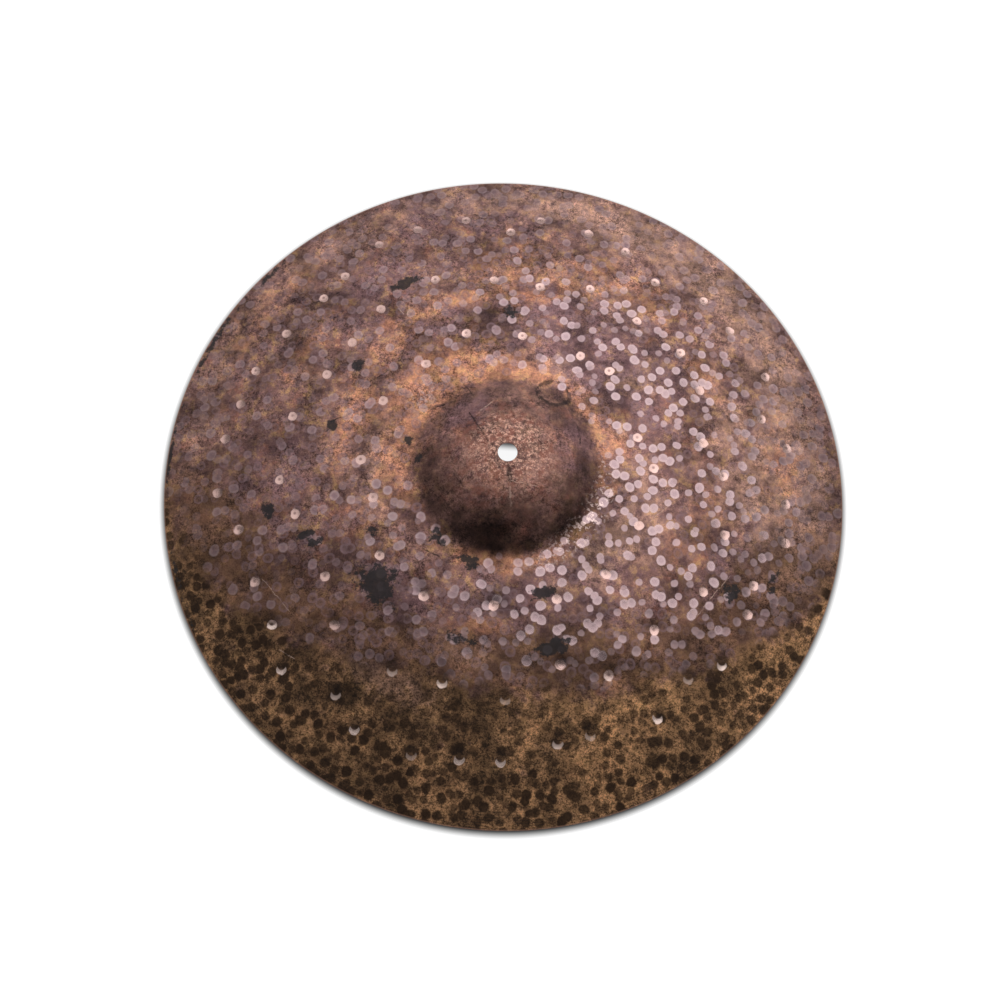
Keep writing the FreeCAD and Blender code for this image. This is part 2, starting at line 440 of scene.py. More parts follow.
def hammering_tree():
    """Geometry Nodes that sink marks, pits, basins and waves into a plate."""
    tree = bpy.data.node_groups.new("hammering", "GeometryNodeTree")
    interface = tree.interface
    interface.new_socket("Plate", in_out="INPUT", socket_type="NodeSocketGeometry")
    for name in ("Mark depth", "Pit depth", "Basin depth", "Wave height"):
        interface.new_socket(name, in_out="INPUT", socket_type="NodeSocketFloat")
    interface.new_socket("Bronze", in_out="INPUT", socket_type="NodeSocketMaterial")
    interface.new_socket("Plate", in_out="OUTPUT", socket_type="NodeSocketGeometry")
    given = tree.nodes.new("NodeGroupInput")
    mark_depth, pit_depth, basin_depth, wave_height = (
        Field(tree, given.outputs[name])
        for name in ("Mark depth", "Pit depth", "Basin depth", "Wave height")
    )
    place = input_place(tree)
    x, y, _ = place.parts()
    from_axis = vector_of(tree, x, y).length()
    flat = vector_of(tree, x, y)
    near = hammer_marks(flat)[0]
    pit_distance = deep_blows(flat)[0]
    top = named_attribute(tree, "top_side")
    sunk = dent_depth(near, pit_distance, mark_depth * top, pit_depth, basin_depth)
    wave = (noise(flat, 46.0, 1.0) - 0.5) * wave_height * from_axis.smooth(20.0, 90.0, 0.35, 1.0)
    still_rim = from_axis.smooth(EDGE - 9.0, EDGE - 0.8, 1.0, 0.0)
    still_hole = from_axis.smooth(HOLE + 1.0, HOLE + 9.0, 0.0, 1.0)
    rise = (wave - sunk) * still_rim * still_hole * 0.001
    move = tree.nodes.new("GeometryNodeSetPosition")
    tree.links.new(given.outputs["Plate"], move.inputs["Geometry"])
    plug(tree, move.inputs["Offset"], vector_of(tree, 0.0, 0.0, rise))
    real = tree.nodes.new("GeometryNodeRealizeInstances")
    tree.links.new(move.outputs[0], real.inputs[0])
    bronze = tree.nodes.new("GeometryNodeSetMaterial")
    tree.links.new(real.outputs[0], bronze.inputs["Geometry"])
    tree.links.new(given.outputs["Bronze"], bronze.inputs["Material"])
    result = tree.nodes.new("NodeGroupOutput")
    tree.links.new(bronze.outputs[0], result.inputs[0])
    return tree


def apply_tree(piece, tree, settings):
    """Runs a tree on a piece and keeps the result as the piece's own mesh."""
    modifier = piece.modifiers.new(tree.name, "NODES")
    modifier.node_group = tree
    sockets = {s.name: s.identifier for s in tree.interface.items_tree if s.in_out == "INPUT"}
    for name, value in settings.items():
        modifier[sockets[name]] = value
    ready = piece.evaluated_get(bpy.context.evaluated_depsgraph_get())
    mesh = bpy.data.meshes.new_from_object(ready)
    mesh.name = piece.name
    piece.modifiers.remove(modifier)
    piece.data = mesh


bronze = bpy.data.materials.new("hammered_bronze")
apply_tree(
    plate,
    hammering_tree(),
    {"Mark depth": 0.06, "Pit depth": 0.34, "Basin depth": 0.48, "Wave height": 1.2, "Bronze": bronze},
)
heights = np.array([v.co.z for v in plate.data.vertices]) * 1000
print(f"hammered plate from {heights.min():.2f} to {heights.max():.2f} mm")

# %% [markdown]
# ## Where the fire left its colours, and where shade and highlights are painted
# The skin's colours come in drifts that follow the turning of the plate: orange scale round the
# bell, violet and grey streaks, pale bloom towards the edge, black scorch at the bell's foot, and
# painted shade where the bell's foot and the bow face the front. Each drift is a soft patch in polar
# form: its angle, its distance from the axis, how far it reaches along the arc in degrees, its half
# width in millimetres and its strength. Two more drifts hold painted highlights: where the marks
# shine, and glints at the bell's foot. At the front, outside half an ellipse, the skin is golden and
# the marks are painted black: painted shade, for the dark front they reflect. An image could hold
# all this, but numbers kept on the mesh's points go with the mesh wherever it is exported, and the
# material breaks up their soft edges with noise.

# %% Drifts of colour
ORANGE_DRIFTS = (
    (118, 67, 58, 9, 1.0), (165, 74, 40, 11, 0.8), (130, 84, 26, 13, 0.75), (108, 126, 22, 8, 0.6),
    (137, 118, 12, 10, 0.5), (167, 108, 18, 13, 0.5), (152, 160, 11, 9, 0.4), (22, 64, 32, 5, 0.6),
    (300, 66, 24, 6, 0.5), (268, 67, 24, 7, 0.7), (345, 130, 14, 16, 0.3), (5, 188, 12, 14, 0.4),
    (300, 150, 12, 10, 0.35), (90, 150, 20, 22, 0.45), (60, 160, 14, 14, 0.4), (12, 70, 30, 8, 0.3),
    (268, 108, 10, 7, 0.6), (150, 205, 14, 12, 0.4), (208, 100, 14, 12, 0.3), (30, 150, 10, 12, 0.35),
)
VIOLET_DRIFTS = (
    (58, 98, 32, 24, 0.8), (38, 132, 20, 16, 0.5), (2, 98, 26, 20, 0.25), (338, 158, 14, 15, 0.3),
    (282, 90, 28, 14, 0.6), (236, 108, 18, 17, 0.5), (132, 166, 20, 18, 0.45), (186, 152, 20, 26, 0.35),
    (98, 188, 14, 20, 0.35), (76, 122, 12, 11, 0.6), (212, 160, 16, 18, 0.2), (310, 110, 16, 14, 0.3),
    (135, 40, 22, 12, 0.8), (20, 46, 26, 10, 0.6), (112, 112, 18, 12, 0.5), (108, 210, 9, 16, 0.5),
)
PALE_DRIFTS = (
    (62, 208, 34, 24, 0.75), (24, 200, 26, 22, 0.6), (136, 212, 24, 12, 0.4), (166, 208, 18, 12, 0.35),
    (95, 214, 16, 10, 0.4), (88, 148, 16, 14, 0.4), (345, 100, 24, 24, 0.3), (196, 92, 24, 12, 0.4),
    (246, 158, 12, 11, 0.7), (258, 128, 10, 9, 0.4), (275, 128, 10, 6, 0.3), (42, 108, 9, 16, 0.45),
    (322, 88, 26, 18, 0.5), (178, 82, 20, 12, 0.5),
    (0, 178, 16, 32, 0.75), (352, 208, 12, 20, 0.5), (68, 78, 16, 10, 0.5), (20, 150, 16, 16, 0.4),
)
# scorch and painted shade: most of these drifts lie on the front side, the strongest on the bell's foot where
# it faces the dark front
SCORCHED_AND_SHADE_DRIFTS = (
    (272, 52, 40, 16, 0.88), (228, 54, 30, 13, 0.65), (318, 54, 28, 12, 0.65), (182, 51, 26, 9, 0.5),
    (4, 49, 14, 7, 0.65), (138, 51, 24, 8, 0.7), (238, 120, 22, 22, 0.45), (286, 122, 20, 14, 0.5),
    (148, 172, 16, 24, 0.35), (186, 182, 20, 22, 0.35), (216, 170, 26, 40, 0.5), (335, 160, 13, 20, 0.5),
    (262, 170, 18, 18, 0.4), (318, 190, 14, 18, 0.2), (240, 178, 22, 24, 0.3), (272, 205, 26, 16, 0.35),
    (300, 172, 14, 14, 0.15), (96, 112, 14, 13, 0.6), (124, 106, 20, 16, 0.6),
    (272, 104, 16, 12, 0.35), (332, 122, 10, 14, 0.35), (205, 210, 14, 14, 0.3),
)
SOOT_SPOTS = (
    (122, 153, 5.5, 5, 1.0), (149, 123, 3.0, 5, 1.0), (172, 119, 2.2, 4, 1.0), (171, 66, 3.4, 3.6, 1.0),
    (183, 58, 3.8, 3.2, 0.9), (205, 137, 1.3, 8, 1.0), (208, 134, 1.2, 7, 0.9), (229, 114, 8.0, 13, 1.0),
    (213, 98, 3.0, 4, 0.8), (290, 89, 6.5, 5, 0.9), (335, 167, 2.4, 6, 0.9), (234, 67, 7.0, 5, 0.9),
    (255, 70, 7.0, 5, 0.8), (94, 112, 4.0, 5, 0.7), (288, 124, 6.5, 6, 0.95), (196, 158, 2.4, 5, 0.9),
    (262, 118, 9.0, 6, 0.6), (342, 190, 4.0, 4, 0.6), (160, 226, 9.0, 3.0, 0.7), (182, 227, 8.0, 2.5, 0.7),
    (143, 225, 4.0, 4.0, 0.6), (205, 226, 9.0, 2.5, 0.6), (37, 214, 3.0, 4.0, 0.45),
    (22, 218, 3.0, 3.0, 0.45),
)
# where the marks are rubbed bright, with a painted highlight that is strongest on the right, and where many
# small bright chips lie close together, painted as glints
RUBBED_AND_HIGHLIGHT_DRIFTS = (
    (345, 105, 55, 80, 0.95), (40, 106, 40, 52, 0.65), (290, 100, 40, 34, 0.8), (90, 120, 30, 50, 0.3),
    (215, 90, 25, 28, 0.5), (150, 100, 30, 30, 0.15),
)
FRONT_ACROSS, FRONT_FORWARD = 226.0, 138.0  # half axes of the ellipse that bounds the front
CHIP_GLINT_DRIFTS = ((330, 66, 26, 7, 1.0), (0, 64, 12, 4, 0.6), (300, 70, 14, 6, 0.5), (145, 72, 9, 7, 0.5))


def drift(points, patches):
    """The strength of a list of soft patches at each point, from 0 to 1."""
    angles = np.degrees(np.arctan2(points[:, 1], points[:, 0]))
    radii = np.hypot(points[:, 0], points[:, 1])
    strength = np.zeros(len(points))
    for angle, radius, reach, width, peak in patches:
        turn = (angles - angle + 180) % 360 - 180
        patch = peak * np.exp(-((turn / reach) ** 2) - ((radii - radius) / width) ** 2)
        strength = 1 - (1 - strength) * (1 - patch)
    return strength


def front_reach(points):
    """How far out a point lies towards the front: 1 on the half ellipse."""
    return np.hypot(points[:, 0] / FRONT_ACROSS, np.minimum(points[:, 1], 0.0) / FRONT_FORWARD)


def painted_shade_front(points):
    """The front of the plate, outside half an ellipse, where the marks are painted black as painted shade."""
    share = np.clip((front_reach(points) - 0.88) / 0.36, 0, 1)
    return share * share * (3 - 2 * share)


def browned_border(points):
    """A soft band along the same half ellipse, where the front's painted shade fades into brown."""
    forward_share = np.clip(-points[:, 1] / 45.0, 0, 1)
    return forward_share * np.exp(-(((front_reach(points) - 0.94) / 0.15) ** 2))


def keep_on_points(piece, name, values):
    """Stores one number for each point of the mesh, for the material to read."""
    piece.data.attributes.new(name, "FLOAT", "POINT").data.foreach_set("value", values)
    print(f"{name}: {100 * (values > 0.4).mean():.0f} % of the plate")


# the underside keeps only part of the broad colours, and none of the spots, chip glints or front
UNDERSIDE_SHARES = {"orange": 0.4, "violet": 0.5, "pale": 0.3, "scorched_and_shaded": 0.35, "rubbed_and_highlight": 0.25}
points = np.array([v.co for v in plate.data.vertices]) * 1000
on_top = np.zeros(len(points))
plate.data.attributes["top_side"].data.foreach_get("value", on_top)
for name, patches in (
    ("orange", ORANGE_DRIFTS), ("violet", VIOLET_DRIFTS), ("pale", PALE_DRIFTS),
    ("scorched_and_shaded", SCORCHED_AND_SHADE_DRIFTS), ("soot", SOOT_SPOTS), ("rubbed_and_highlight", RUBBED_AND_HIGHLIGHT_DRIFTS), ("chip_glints", CHIP_GLINT_DRIFTS),
):
    below = UNDERSIDE_SHARES.get(name, 0.0)
    keep_on_points(plate, name, drift(points, patches) * (below + (1 - below) * on_top))
keep_on_points(plate, "front", painted_shade_front(points) * on_top)
keep_on_points(plate, "border", browned_border(points) * on_top)

# %% [markdown]
# ## The skin of the bronze
# Unlathed bronze is metal under a thin rough oxide. The material starts from a brown skin with
# cloudy and gritty noise, lays the drifts of colour over it, rubs the hammer marks bright, and adds
# soot, cracks and scratches. Roughness follows the same masks: a mark is smooth, the skin is not.
# The colours are light values from 0 to 1 for red, green and blue, and they are named for what they
# are on the metal.

# %% Colours and small tools
UMBER, BROWN, TAN = (0.070, 0.034, 0.028), (0.225, 0.118, 0.100), (0.50, 0.285, 0.210)
ORANGE, VIOLET, PALE = (0.50, 0.222, 0.135), (0.190, 0.103, 0.109), (0.46, 0.268, 0.205)
# scorch also serves as painted shade, on the front and behind the pits
GOLD, RED_BROWN, SCORCH_AND_SHADE = (0.35, 0.194, 0.088), (0.30, 0.115, 0.085), (0.016, 0.0085, 0.007)
# the rim lilac is a painted highlight on the marks' rims
LILAC, LILAC_RIM_HIGHLIGHT, VIOLET_GHOST = (0.41, 0.295, 0.31), (0.58, 0.43, 0.435), (0.32, 0.205, 0.225)
DIM_LILAC = (0.37, 0.247, 0.272)
OLIVE, MAUVE, AMBER = (0.35, 0.202, 0.098), (0.23, 0.118, 0.130), (0.50, 0.255, 0.125)
# the lip pink is a painted highlight and the pit's dot colour is painted shade
PIT_PINK, LIP_HIGHLIGHT_PINK, PIT_DOT_SHADE = (0.70, 0.47, 0.425), (1.0, 0.77, 0.69), (0.20, 0.12, 0.11)
# the chip colour is a painted glint
CHIP_GLINT, BORDER_BROWN = (0.80, 0.60, 0.56), (0.150, 0.077, 0.043)
# the first colour here is black scale and painted shade: it darkens the front's patches and marks
BLACK_SCALE_AND_SHADE, SOOT = (0.028, 0.0125, 0.0060), (0.014, 0.012, 0.014)


def surface_attribute(tree, name):
    node = tree.nodes.new("ShaderNodeAttribute")
    node.attribute_name = name
    return Field(tree, node.outputs["Fac"])


def colour(tree, rgb):
    """A plain colour as a field, to blend from."""
    node = tree.nodes.new("ShaderNodeCombineXYZ")
    for slot, value in zip(node.inputs, rgb):
        slot.default_value = value
    return Field(tree, node.outputs[0])


def opposite(share):
    """One minus a share."""
    return share * -1.0 + 1.0


def line_between(place, start, end, width):
    """A share that is 1 on a thin line between two places in millimetres, and 0 off it."""
    span = Vector(end) - Vector(start)
    reach = (place - (*start, 0.0)).along((*(span / span.length_squared), 0.0))
    reach = reach.maths("MINIMUM", 1.0).maths("MAXIMUM", 0.0)
    foot = vector_of(place.tree, reach * span.x + start[0], reach * span.y + start[1])
    return (place - foot).length().smooth(width * 0.4, width, 1.0, 0.0)


def front_share(place):
    """How far a place belongs to the front with its painted shade, with a cloudy border."""
    front = surface_attribute(place.tree, "front")
    cloudy = (noise(place, 30.0, 4.0, 0.6, shift=61.0) - 0.5) * 1.1
    return (front + cloudy * front.smooth(0.0, 0.25)).smooth(0.1, 0.9)


print("colours and tools of the skin are ready")

# %% [markdown]
# ### The brown skin
# Heated bronze grows oxide in clouds, specks and thin films. One noise would look like fog, so
# noises of many sizes are used: clouds for broad light and dark, mottle and bloom for patches, and
# scale and grit for the rough surface itself. The drifts then pull the skin towards their colours.

# %% The brown skin and its drifts
def brown_skin(place, from_axis):
    """The oxide's colour: umber to tan in clouds, then the drifts, then grit."""
    tree = place.tree
    clouds = noise(place, 42.0, 3.0, 0.55)
    mottle = noise(place, 10.0, 5.0, 0.62, shift=31.0)
    warmth = noise(place, 13.0, 5.0, 0.66, shift=101.0)
    scale = noise(place, 2.6, 5.0, 0.78, shift=57.0)
    grit = noise(place, 0.9, 2.0, 0.6, shift=83.0)
    lightness = mottle * 0.75 + clouds * 0.25
    skin = colour(tree, UMBER).towards(BROWN, lightness.smooth(0.30, 0.49))
    skin = skin.towards(TAN, lightness.smooth(0.50, 0.70) * 0.55)
    skin = skin.towards(RED_BROWN, warmth.smooth(0.52, 0.66) * 0.5)
    bloom = noise(place, 8.0, 6.0, 0.74, shift=131.0)
    skin = skin.towards(OLIVE, bloom.smooth(0.52, 0.64) * from_axis.smooth(52.0, 62.0, 0.15, 0.6))
    front = front_share(place)
    wander = (mottle - 0.5) * 1.5 + (warmth - 0.5) * 1.5
    amber = colour(tree, ORANGE).towards(AMBER, bloom.smooth(0.44, 0.60) * 0.7)
    # painted light: the gold grows lighter towards the right, under the brighter panel
    painted_light_gold = colour(tree, GOLD) * place.parts()[0].smooth(-60.0, 130.0, 0.97, 1.32)
    drifts = (
        (front * 0.9 + 0.14, painted_light_gold, 0.8, 1.0),
        (surface_attribute(tree, "violet") + 0.16, VIOLET, 0.85, -1.0),
        (surface_attribute(tree, "pale") + 0.08, PALE, 0.75, 1.0),
        (surface_attribute(tree, "orange") + 0.14, amber, 0.75, 1.0),
    )
    for amount, rgb, strength, sign in drifts:
        share = (amount + wander * sign * amount.smooth(0.0, 0.3)).smooth(0.16, 0.84) * strength
        skin = skin.towards(rgb, share)
    on_bow = from_axis.smooth(52.0, 62.0, 0.25, 1.0)
    skin = skin.towards(OLIVE, bloom.smooth(0.52, 0.66) * on_bow * 0.48)
    skin = skin.towards(MAUVE, opposite(bloom).smooth(0.54, 0.66) * 0.55 * opposite(front))
    # painted shade as well as scorch, mostly on the front side
    scorched_and_shaded = surface_attribute(tree, "scorched_and_shaded")
    share = (scorched_and_shaded + (mottle - 0.5) * 1.6 * scorched_and_shaded.smooth(0.0, 0.4)).smooth(0.10, 0.95)
    skin = skin.towards(SCORCH_AND_SHADE, share * 0.85)
    # painted shade as well as black scale: dark patches across the front
    patches = noise(place, 14.0, 6.0, 0.72, shift=211.0).smooth(0.42, 0.58) * front
    skin = skin.towards(BLACK_SCALE_AND_SHADE, patches * from_axis.smooth(150.0, 210.0, 0.62, 0.42))
    border = surface_attribute(tree, "border")
    border = (border + (mottle - 0.5) * 1.4 * border.smooth(0.0, 0.4)).smooth(0.1, 0.9)
    skin = skin.towards(BORDER_BROWN, border * 0.68)
    calm = noise(place, 20.0, 3.0, 0.6, shift=311.0).smooth(0.38, 0.60, 1.45, 0.45)
    calm = calm * surface_attribute(tree, "rubbed_and_highlight").smooth(0.2, 0.9, 1.0, 0.62)
    rough = calm.maths("MAXIMUM", front * 1.9)
    speckle = ((scale - 0.5) * 3.8 + (grit - 0.5) * 2.2) * rough + (bloom - 0.5) * 2.2
    broad = noise(place, 26.0, 3.0, 0.6, shift=271.0).smooth(0.34, 0.66, 0.60, 1.40)
    return skin * speckle.smooth(-1.1, 1.1, 0.30, 1.84) * broad, scale, grit, clouds


print("brown skin: umber, tan, olive and mauve under four drifts")

# %% [markdown]
# ### The bell, cracks and scratches
# The bell is forged first and hottest, so its scale is redder, flakes off round the hole and breaks
# in a ring and in hairlines. Lines are cheap to draw as the distance from a stretch between two
# places, and noise makes them sway, so no line looks ruled.

# %% The bell and its cracks
# each line: its two ends and its half width, in millimetres
HAIRLINES = (
    ((-27, 27), (-11, 4), 0.7), ((-35, 56), (-25, 41), 0.7), ((-52, 33), (-44, 36), 0.8),
    ((1, -8), (3, -16), 2.4), ((-48, -62), (-38, -66), 0.7), ((44, 28), (47, 14), 0.9),
    ((-150, 108), (-128, 120), 0.7), ((-96, 50), (-84, 60), 0.6), ((-118, 20), (-106, 26), 0.6),
)
SCRATCHES = (
    ((3, -16), (5, -34), 0.9), ((4, -18), (20, -20), 0.5), ((-22, 26), (-12, 38), 0.7),
    ((150, -60), (126, -92), 0.5), ((-132, -132), (-122, -137), 0.6), ((-150, -88), (-128, -108), 0.4),
    ((-84, 108), (-80, 104), 0.7), ((60, 150), (72, 141), 0.4), ((108, -18), (96, -30), 0.4),
)


def aged_bell(skin, place, flat, from_axis, clouds):
    """Reddish bright specks round the hole, a broken ring of black scale, hairlines and scratches."""
    tree = place.tree
    bell = from_axis.smooth(50.0, 60.0, 1.0, 0.0)
    red = noise(place, 7.0, 5.0, 0.7, shift=191.0).smooth(0.46, 0.62)
    skin = skin.towards(RED_BROWN, red * bell * from_axis.smooth(22.0, 46.0, 0.8, 0.1))
    specks = noise(place, 2.4, 6.0, 0.85, shift=141.0).smooth(0.49, 0.60)
    zone = (from_axis.smooth(8.0, 48.0, 1.0, 0.0) + (clouds - 0.5) * 1.8).smooth(0.15, 0.85)
    skin = skin.towards((0.80, 0.47, 0.36), specks * zone * bell * 0.95)
    sway_x, sway_y = (noise(flat, 9.0, 4.0, 0.7, shift=shift) - 0.5 for shift in (5.0, 9.0))
    sway = vector_of(tree, sway_x, sway_y)
    swaying = flat + sway * 9.0
    ring = (swaying - (27.0, 50.0, 0.0)).length()
    broken = noise(flat, 6.0, 4.0, 0.75, shift=23.0).smooth(0.42, 0.54)
    cracks = ring.smooth(7.8, 9.4) * ring.smooth(10.8, 12.8, 1.0, 0.0) * broken.smooth(0.0, 0.5)
    for start, end, width in HAIRLINES:
        hairline = line_between(flat + sway * 5.0, start, end, width) * broken.smooth(0.0, 1.0, 0.4, 1.0)
        cracks = cracks.maths("MAXIMUM", hairline)
    top = surface_attribute(tree, "top_side")
    skin = skin.towards(SOOT, cracks * 0.72 * top)
    scratches = None
    for start, end, width in SCRATCHES:
        scratch = line_between(flat + sway * 4.0, start, end, width * 0.8)
        scratches = scratch if scratches is None else scratches.maths("MAXIMUM", scratch)
    return skin.towards((0.75, 0.52, 0.42), scratches * broken.smooth(0.0, 1.0, 0.1, 0.5) * top)


print(len(HAIRLINES), "hairlines and", len(SCRATCHES), "scratches")

# %% [markdown]
# ### Marks and pits
# A hammer's face polishes what it strikes. The material asks the same functions as the modelling
# nodes where the marks and pits are, so colour and dents always meet. Part of their brightness is
# painted highlight: the marks shine more on the right, their rims are pale, and the front pits get a
# pink crescent. Painted shade gives the pits a dark centre dot and a dark patch behind them, and
# paints the front's marks black. Fainter ghost marks lie between them: old blows, nearly planished
# away, with pale painted rims.

# %% Marks and pits
UNDER_SHIFT = 7.3  # how far the underside's marks are moved from the top's, in millimetres


def marks_on(skin, flat, ragged):
    """Makes the marks and pits bright, with painted highlights, or black with painted shade at the front;
    also returns the masks for the gloss.
    """
    tree = flat.tree
    front, rubbing_and_highlight = front_share(flat), surface_attribute(tree, "rubbed_and_highlight")
    top = surface_attribute(tree, "top_side")
    struck = flat + vector_of(tree, opposite(top) * UNDER_SHIFT, opposite(top) * -UNDER_SHIFT)
    ghost, ghost_tone, _, _ = blows(struck + ragged, 7.9, 3.0, 2.7, 0.2, loose_share)
    # painted highlight: ghost marks are pale at their rims, fainter in their centres
    ghost_and_rim_highlight = ghost.smooth(0.30, 0.85, 0.25, 1.0) * ghost.smooth(0.88, 1.15, 1.0, 0.0)
    skin = skin.towards(VIOLET_GHOST, ghost_and_rim_highlight * ghost_tone * opposite(front.smooth(0.0, 0.5)) * 0.5)
    near, tone, offset, turn = hammer_marks(struck + ragged * 1.3)
    in_mark = near.smooth(0.80, 1.12, 1.0, 0.0)
    # painted highlight as well as wear: the rubbed drifts, strongest on the right under the brighter panel,
    # make the marks brighter and turn the dim lilac into the bright one
    strength = (tone * 0.55 + rubbing_and_highlight * 0.75).smooth(0.05, 0.98, 0.10, 1.0)
    rubbed_and_highlight = in_mark * strength * opposite(front.smooth(0.05, 0.5))
    # painted highlight: a pale rim on each mark
    painted_rim_highlight = near.smooth(0.30, 0.90) * tone
    mark = colour(tree, DIM_LILAC).towards(LILAC, rubbing_and_highlight.smooth(0.1, 0.6))
    mark = mark.towards(LILAC_RIM_HIGHLIGHT, painted_rim_highlight * 0.62)
    skin = skin.towards(mark, rubbed_and_highlight * 0.86)
    crisp = flat.length().smooth(150.0, 196.0, 0.5, 1.0)
    # painted shade: at the front the marks are painted black, for the dark front they reflect
    painted_shade_marks = near.smooth(0.70, 1.14, 1.0, 0.0) * front.smooth(0.15, 0.7) * (tone * 0.34 + 0.60) * crisp
    skin = skin.towards(BLACK_SCALE_AND_SHADE, painted_shade_marks)

    pit_distance, pit_offset, pit_luck = deep_blows(flat)
    in_pit = (pit_distance + ragged.parts()[0] * 2.0).smooth(PIT - 1.5, PIT - 0.7, 1.0, 0.0) * top
    # painted highlight: a pink crescent on the lower side of each front pit
    crescent = (pit_offset + (0.0, -2.6, 0.0)).length().smooth(2.3, 3.3)
    painted_lip_highlight = in_pit * crescent * pit_luck.smooth(0.1, 0.5, 0.4, 1.0)
    worn_and_lip_highlight = in_pit.towards(painted_lip_highlight, front.smooth(0.05, 0.35))
    pit_colour = colour(tree, PIT_PINK).towards(LIP_HIGHLIGHT_PINK, front.smooth(0.05, 0.35))
    skin = skin.towards(pit_colour, worn_and_lip_highlight * pit_luck.smooth(0.0, 1.0, 0.8, 1.0))
    # painted shade: a dark dot at each pit's centre
    painted_pit_dot = (pit_offset + (0.3, -0.4, 0.0)).length().smooth(0.3, 1.6, 1.0, 0.0)
    skin = skin.towards(PIT_DOT_SHADE, painted_pit_dot * in_pit * pit_luck.smooth(0.1, 0.9, 0.15, 0.75))
    # painted shadow: a dark patch on the back side of each pit in the front half
    painted_pit_shadow = (pit_offset + (0.0, -3.4, 0.0)).length().smooth(1.8, 6.8, 1.0, 0.0) * opposite(worn_and_lip_highlight) * top
    below = flat.parts()[1].smooth(-120.0, -50.0, 0.62, 0.0)
    skin = skin.towards(SCORCH_AND_SHADE, painted_pit_shadow * below)
    return skin, rubbed_and_highlight, worn_and_lip_highlight, in_mark, (near, offset, turn, pit_distance)


print("marks: ghosts, rubbed ones, blackened ones, and pits")

# %% [markdown]
# ### Soot, chip glints and the rim
# What is left is small: soot spots with ragged edges, bright chips at the bell's foot painted as glints,
# fine turning lines near the front rim, and the bare trimmed edge. They come last because they lie on top.

# %% Soot, chip glints and the rim
def sooty(skin, place, from_axis):
    """Ragged soot, bright metal flecks painted as glints, turning lines near the rim and the bare trimmed
    edge.
    """
    tree = place.tree
    # painted glints: small bright flecks crowded at the bell's foot
    chip_glinting = noise(place, 2.4, 4.0, 0.6, shift=161.0).smooth(0.54, 0.60)
    skin = skin.towards(CHIP_GLINT, chip_glinting * surface_attribute(tree, "chip_glints") * 0.85)
    line = (from_axis * 3.9).maths("SINE").smooth(0.55, 0.95)
    near_rim = from_axis.smooth(214.0, 219.0) * surface_attribute(tree, "front")
    skin = skin.towards(SOOT, line * near_rim * noise(place, 14.0, 2.0, shift=7.0).smooth(0.45, 0.6) * 0.55)
    amount = surface_attribute(tree, "soot")
    rough_edge = (noise(place, 5.0, 5.0, 0.7, shift=171.0) - 0.5) * 2.2
    soot = (amount + rough_edge * amount.smooth(0.0, 0.25)).smooth(0.40, 0.62)
    skin = skin.towards(SOOT, soot * 0.9)
    flecks = noise(place, 1.7, 4.0, 0.7, shift=251.0).smooth(0.66, 0.72)
    skin = skin.towards(SOOT, flecks * 0.6)
    return skin.towards(TAN, surface_attribute(tree, "trimmed") * 0.6), soot


print(len(SOOT_SPOTS), "soot spots")

# %% [markdown]
# ### The finished bronze
# The layers meet in one shader. Rubbed metal is smooth and fully metallic, oxide is rougher and a
# little less so, and soot hardly shines. Bump adds only what is too fine for the mesh: the grain of
# the scale, and a slight tilt that makes each mark catch the light in its own way.

# %% The bronze material
def paint_bronze(material):
    """Builds the bronze's nodes."""
    material.use_nodes = True
    tree = material.node_tree
    shader = tree.nodes["Principled BSDF"]
    place = Field(tree, tree.nodes.new("ShaderNodeTexCoord").outputs["Object"]) * 1000.0
    x, y, _ = place.parts()
    flat = vector_of(tree, x, y)
    from_axis = flat.length()
    ragged = vector_of(tree, noise(flat, 4.0, 2.0, shift=5.0) - 0.5, noise(flat, 4.0, 2.0, shift=9.0) - 0.5)

    skin, scale, grit, clouds = brown_skin(place, from_axis)
    skin = aged_bell(skin, place, flat, from_axis, clouds)
    skin, rubbed_and_highlight, worn_pit_and_lip_highlight, in_mark, (near, offset, turn, pit_distance) = marks_on(skin, flat, ragged)
    skin, soot = sooty(skin, place, from_axis)
    plug(tree, shader.inputs["Base Color"], skin)

    shine = (rubbed_and_highlight + worn_pit_and_lip_highlight).maths("MINIMUM", 1.0) * opposite(soot)
    front = surface_attribute(tree, "front")
    dull = opposite(shine) * front * 0.2
    # the painted lip highlight is made less metallic, so it stays bright
    lip_highlight = worn_pit_and_lip_highlight * front.smooth(0.05, 0.35)
    plug(tree, shader.inputs["Roughness"], shine.smooth(0.0, 1.0, 0.52, 0.27) + dull)
    plug(tree, shader.inputs["Metallic"], shine.smooth(0.0, 1.0, 0.85, 1.0) - dull - soot * 0.4 - lip_highlight * 0.4)

    bump = tree.nodes.new("ShaderNodeBump")
    bump.inputs["Strength"].default_value = 1.0
    bump.inputs["Distance"].default_value = 0.001
    fine = (scale * 0.06 + grit * 0.014) * (shine * -0.85 + 1.0)
    tilt = offset.along(vector_of(tree, (turn * 40.0).maths("COSINE"), (turn * 40.0).maths("SINE")))
    sunk = dent_depth(near, pit_distance, 0.03, 0.05, 0.0)
    plug(tree, bump.inputs["Height"], fine - sunk + tilt * in_mark * 0.010)
    tree.links.new(bump.outputs[0], shader.inputs["Normal"])
    return len(tree.nodes)


print(paint_bronze(bronze), "nodes in the bronze")
plate.data.materials.clear()
plate.data.materials.append(bronze)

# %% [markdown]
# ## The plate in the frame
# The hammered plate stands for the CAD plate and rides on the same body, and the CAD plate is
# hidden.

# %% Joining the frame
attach(plate, "root")
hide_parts("cymbal")
print("hammered_plate rides on root")

